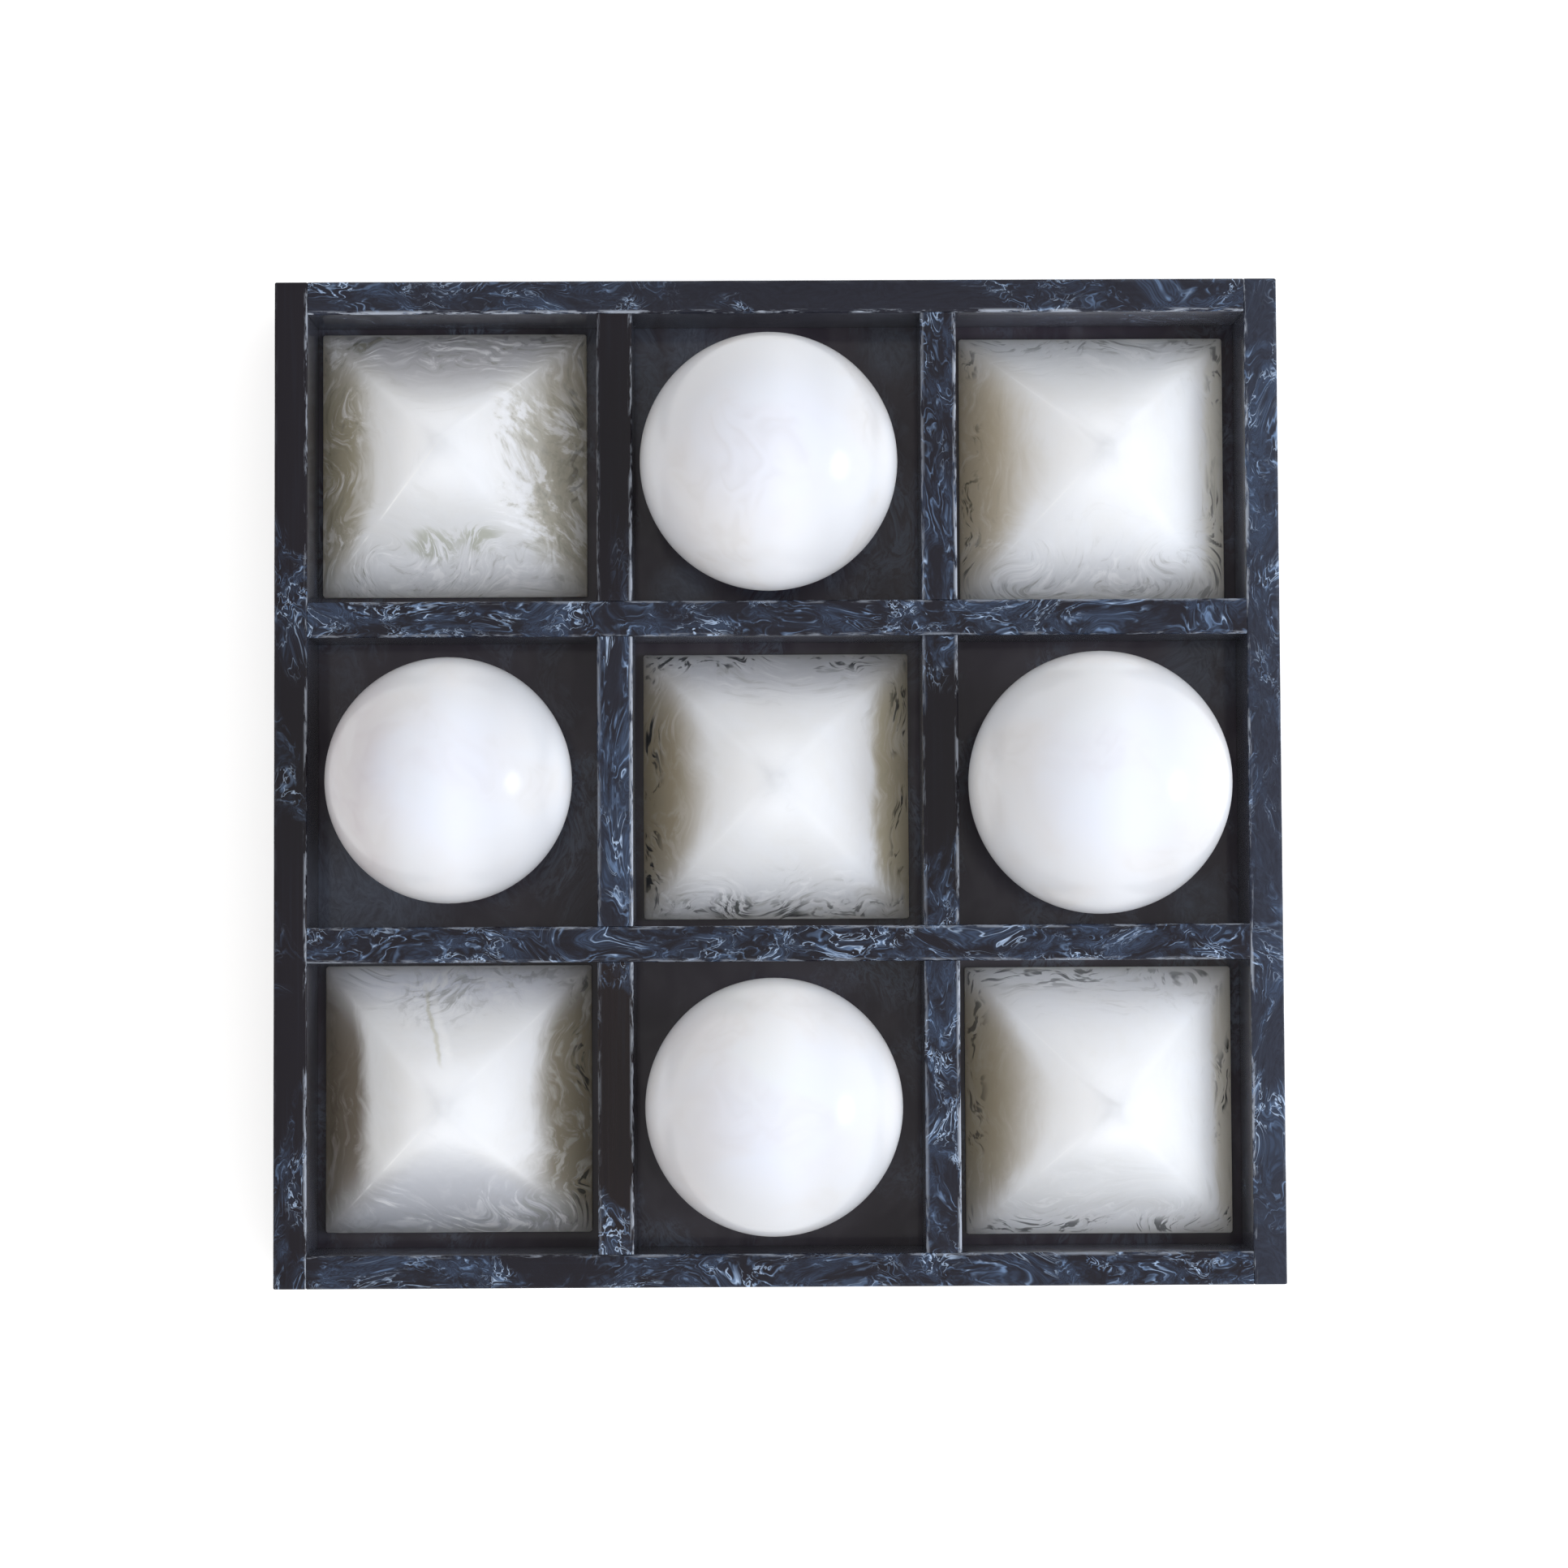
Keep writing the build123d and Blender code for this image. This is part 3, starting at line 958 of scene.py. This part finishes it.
# settings of milky(); the right-side border paints the wall's shadow on each pyramid's right face
PYRAMIDS = {
    "pyramid_back_left": dict(
        seed=201, reach=(10.0, 9.0, 12.0, 9.0), fade=(12.0, 9.0, 18.0, 6.0),
        edges=((0.43, 0.395, 0.30), (0.50, 0.465, 0.38), (0.50, 0.50, 0.52), SNOW_AND_FILL),
        inner=(0.10, 0.0, 0.22, 0.30), flecks=(0.2, 0.45, 0.4, 0.1),
        silks=(0.70, 0.45, 0.90, 1.3), wisps=1.3,
        vortices=((-17.0, -31.0, 10.0, 3.6), (6.0, -29.0, 7.0, -2.4), (-30.0, 6.0, 12.0, -1.0)),
        ridges=(0.0, 0.4, 0.9, 0.0),
        pockets=((-4.0, -27.0, 6.0, 0.7, POCKET), (9.0, -25.0, 5.5, 0.75, POCKET)),
        feather=True),
    "pyramid_back_right": dict(
        seed=223, reach=(8.0, 5.0, 9.0, 8.0), fade=(19.0, 4.0, 20.0, 6.0),
        edges=((0.57, 0.50, 0.375), (0.86, 0.84, 0.77), (0.73, 0.745, 0.76), SNOW_AND_FILL),
        inner=(0.03, 0.12, 0.12, 0.06), flecks=(0.8, 0.8, 0.5, 0.3),
        silks=(0.24, 0.30, 0.34, 1.1), wisps=1.1,
        vortices=((-24.0, -32.0, 10.0, 3.0), (22.0, -33.0, 9.0, -2.8)),
        ridges=(0.22, 0.0, 0.4, 0.0)),
    "pyramid_centre": dict(
        seed=239, reach=(8.5, 8.5, 6.0, 8.0), fade=(17.0, 5.0, 13.0, 6.0),
        edges=((0.38, 0.33, 0.24), (0.50, 0.45, 0.335), (0.64, 0.65, 0.68), SNOW_AND_FILL),
        inner=(0.03, 0.0, 0.05, 0.12), flecks=(1.1, 1.0, 1.0, 0.8),
        silks=(0.22, 0.22, 0.40, 1.1), wisps=0.9,
        vortices=((-14.0, -36.0, 10.0, 1.4),), ridges=(0.0, 0.0, 0.15, 0.0),
        pockets=((-13.0, -38.0, 5.5, 0.95, INK), (4.0, -39.5, 3.5, 0.9, INK))),
    "pyramid_front_left": dict(
        seed=251, reach=(11.0, 9.5, 4.0, 15.0), fade=(7.5, 9.0, 12.0, 19.0),
        edges=((0.205, 0.175, 0.14), (0.29, 0.26, 0.20), (0.80, 0.82, 0.88),
               (0.56, 0.575, 0.615)),
        inner=(0.15, 0.0, 0.14, 0.10), flecks=(0.15, 0.9, 0.3, 0.1),
        silks=(0.14, 0.34, 0.50, 0.95), wisps=0.8,
        vortices=((23.0, -33.0, 11.0, -2.2),), ridges=(0.0, 0.25, 0.6, 0.0),
        pockets=((27.0, -34.0, 8.0, 0.65, (0.36, 0.36, 0.34)),
                 (13.0, -36.0, 5.0, 0.4, (0.40, 0.41, 0.41))),
        plume=True),
    "pyramid_front_right": dict(
        seed=263, reach=(7.5, 4.6, 2.0, 2.0), fade=(19.0, 4.0, 4.0, 4.0),
        edges=((0.40, 0.35, 0.26), (0.70, 0.67, 0.60), FROST, FROST),
        inner=(0.04, 0.12, 0.0, 0.38), flecks=(0.8, 1.1, 0.8, 0.85),
        silks=(0.18, 0.24, 0.34, 0.60), wisps=0.9,
        vortices=((20.0, -33.0, 10.0, 2.2),), ridges=(0.22, 0.0, 0.2, 0.0)),
}

for node, look in PYRAMIDS.items():
    lo, hi = mm_box(node)
    centre = ((lo[0] + hi[0]) / 2, (lo[1] + hi[1]) / 2)
    half = min(hi[0] - lo[0], hi[1] - lo[1]) / 2
    mesh = pyramid_mesh(node + "_cast", *centre, half, lo[2], hi[2] - lo[2], look["seed"])
    material = milky(node + "_milky", centre, half, **look)
    add_piece(node + "_cast", mesh, node, node, material)


# ---------------------------------------------------------------- balls

SEAT_RADIUS = 7.0  # flat under each ball


def ball_mesh(name, centre_x, centre_y, radius, base_z, seed):
    """A turned and polished ball with a small seat flat and a trace of out-of-roundness."""
    uneven = wobble(seed, 6, 0.004, 0.012)
    trace = 0.0012  # out-of-roundness, as a part of the radius
    count, rows = 128, 72
    drop = math.sqrt(radius * radius - SEAT_RADIUS * SEAT_RADIUS)  # ball centre over the seat
    first = math.asin(SEAT_RADIUS / radius) + 0.012
    flats = (SEAT_RADIUS * 0.35, SEAT_RADIUS * 0.7, SEAT_RADIUS - 0.35)
    profile = [(flat, -drop) for flat in flats]
    for k in range(rows):
        angle = first + (math.pi - first) * (k / rows) ** 0.98
        profile.append((radius * math.sin(angle), -radius * math.cos(angle)))
    rings = [[(centre_x, centre_y, base_z)]]
    for ring_radius, z in profile:
        ring = []
        for x, y in circle(ring_radius, count):
            size = 1.0
            if z > -drop + 1e-6:
                lift = min(1.0, (z + drop) / 6.0)
                size = 1 - trace * lift * (1 + float(uneven((x, y, z + seed))))
            ring.append((centre_x + x * size, centre_y + y * size, base_z + drop + z * size))
        rings.append(ring)
    rings.append([(centre_x, centre_y, base_z + drop + radius * (1 - trace))])
    return make_mesh(name, rings)


# node: (centre x, centre y, settings of pearl()); the balls lie a little off their cell centres
BALLS = {
    "ball_back": (-2.4, 95.2, dict(seed=301, blotch=1.6, left_shade=0.15, lean=0.02)),
    "ball_left": (-98.6, 0.0, dict(seed=313, blotch=0.8, left_shade=0.75, lean=0.05)),
    "ball_right": (96.2, -1.6, dict(seed=331, blotch=0.8, left_shade=0.0, lean=0.09)),
    "ball_front": (-1.6, -97.8, dict(seed=347, blotch=0.8, left_shade=0.25, lean=0.15)),
}

for node, (x, y, look) in BALLS.items():
    lo, hi = mm_box(node)
    height = hi[2] - lo[2]
    # from height = radius + sqrt(radius^2 - SEAT_RADIUS^2)
    radius = (height * height + SEAT_RADIUS * SEAT_RADIUS) / (2 * height)
    mesh = ball_mesh(node + "_turned", x, y, radius, lo[2], look["seed"])
    material = pearl(node + "_pearl", (x, y, lo[2] + radius), radius=radius, **look)
    add_piece(node + "_turned", mesh, node, node, material)


# ---------------------------------------------------------------- feet


def foot_mesh(name, centre_x, centre_y, radius, base_z, height):
    """A bumper pad: flat on both faces, with a softened rolling edge below."""
    roll = 1.2
    flat = radius - 1.9
    profile = [(2.4, 0.0), (4.4, 0.0), (flat, 0.0)]
    for k in range(1, 7):
        angle = QUARTER * k / 6
        profile.append((flat + roll * math.sin(angle), roll - roll * math.cos(angle)))
    profile += [
        (radius - 0.35, height - 0.3),
        (radius - 0.12, height - 0.12),
        (radius - 0.1, height),
    ]
    rings = [[(centre_x, centre_y, base_z)]]
    for ring_radius, z in profile:
        ring = circle(ring_radius, 64)
        rings.append([(centre_x + x, centre_y + y, base_z + z) for x, y in ring])
    rings.append([(centre_x, centre_y, base_z + height)])
    return make_mesh(name, rings)


rubber = silicone("frosted_silicone")
for corner in ("back_left", "back_right", "front_left", "front_right"):
    node = "bumper_foot_" + corner
    lo, hi = mm_box(node)
    centre = ((lo[0] + hi[0]) / 2, (lo[1] + hi[1]) / 2)
    mesh = foot_mesh(node + "_pad", *centre, (hi[0] - lo[0]) / 2, lo[2], hi[2] - lo[2])
    add_piece(node + "_pad", mesh, "tray", node, rubber)


# ---------------------------------------------------------------- stage, in metres


def studio_floor(half):
    """A pale square floor that glows a little to the camera only."""
    graph = material_graph("studio_floor")
    mottle = graph.coords().noise(scale=0.004, detail=2.0)
    colour = mix(mottle, (0.90, 0.90, 0.895), (0.93, 0.93, 0.93))
    glow = graph.wire("LightPath", output="Is Camera Ray") * 0.50
    graph.surface(Base_Color=colour, Roughness=0.75, Specular_IOR_Level=0.25,
                  Emission_Color=(1.0, 1.0, 1.0), Emission_Strength=glow)
    mesh = bpy.data.meshes.new("floor")
    mesh.from_pydata([(sx * half, sy * half, 0) for sx, sy in CORNERS], [], [(0, 1, 2, 3)])
    mesh.materials.append(graph.owner)
    floor = bpy.data.objects.new("floor", mesh)
    bpy.context.scene.collection.objects.link(floor)
    floor.location.z = -0.0002
    floor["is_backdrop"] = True


def studio_world():
    """A near-white sky, dimmer overhead and brighter front right; even white to the camera."""
    world = bpy.data.worlds.new("studio")
    bpy.context.scene.world = world
    graph = Graph(world, "World")
    direction = graph.wire("TexCoord", output="Generated")
    _, _, up = direction.split()
    level = up.smooth(0.55, 0.90, low=0.92, high=0.66)
    tilt = direction.vector("DOT_PRODUCT", (0.26, -0.26, 0.0), output="Value")
    sky = level * (tilt + 1.0)
    seen = graph.wire("LightPath", output="Is Camera Ray")
    strength = graph.wire("Mix", {0: seen, 2: sky, 3: 1.0}, data_type="FLOAT")
    inputs = {"Color": (1.0, 0.99, 0.985), "Strength": strength}
    background = graph.node("Background", inputs)
    graph.tree.links.new(background.outputs[0], graph.output.inputs[0])


def area_light(name, azimuth, elevation, distance, size_x, size_y, power, colour):
    """An elliptical light aimed at the tray.

    It lies azimuth degrees round from +X (towards +Y) and elevation degrees up."""
    light = bpy.data.lights.new(name, "AREA")
    light.shape = "ELLIPSE"
    light.size, light.size_y = size_x, size_y
    light.energy = power
    light.color = colour
    lamp = bpy.data.objects.new(name, light)
    bpy.context.scene.collection.objects.link(lamp)
    turn, rise = math.radians(azimuth), math.radians(elevation)
    lamp.location = place = (
        distance * math.cos(turn) * math.cos(rise),
        distance * math.sin(turn) * math.cos(rise),
        distance * math.sin(rise),
    )
    aim = Vector((0, 0, 0.04)) - Vector(place)
    lamp.rotation_euler = aim.to_track_quat("-Z", "Y").to_euler()
    return lamp


studio_floor(half=9.0)
studio_world()

# the key is left out of reflections, so the small window light makes the only distinct highlight
key = area_light("key", azimuth=-9.0, elevation=41.0, distance=2.3, size_x=1.7, size_y=1.6,
                 power=23.0, colour=(0.79, 0.87, 1.0))
key.visible_glossy = False
area_light("glint", azimuth=-4.0, elevation=25.0, distance=2.2, size_x=0.75, size_y=0.62,
           power=5.4, colour=(0.9, 0.95, 1.0))

# the camera looks almost straight down
lens = bpy.data.cameras.new("camera")
lens.sensor_fit = "HORIZONTAL"
lens.sensor_width = 36.0  # mm
lens.lens = 76.02484472  # mm
lens.clip_start, lens.clip_end = 0.05, 60.0
camera = bpy.data.objects.new("camera", lens)
bpy.context.scene.collection.objects.link(camera)
camera.location = (-0.00157, -0.04452, 1.03894)
camera.rotation_mode = "XYZ"
camera.rotation_euler = [math.radians(angle) for angle in (2.484, -0.182, -0.281)]
bpy.context.scene.camera = camera

bpy.context.scene.view_settings.view_transform = "Standard"
bpy.context.scene.view_settings.look = "None"

lo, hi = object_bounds()
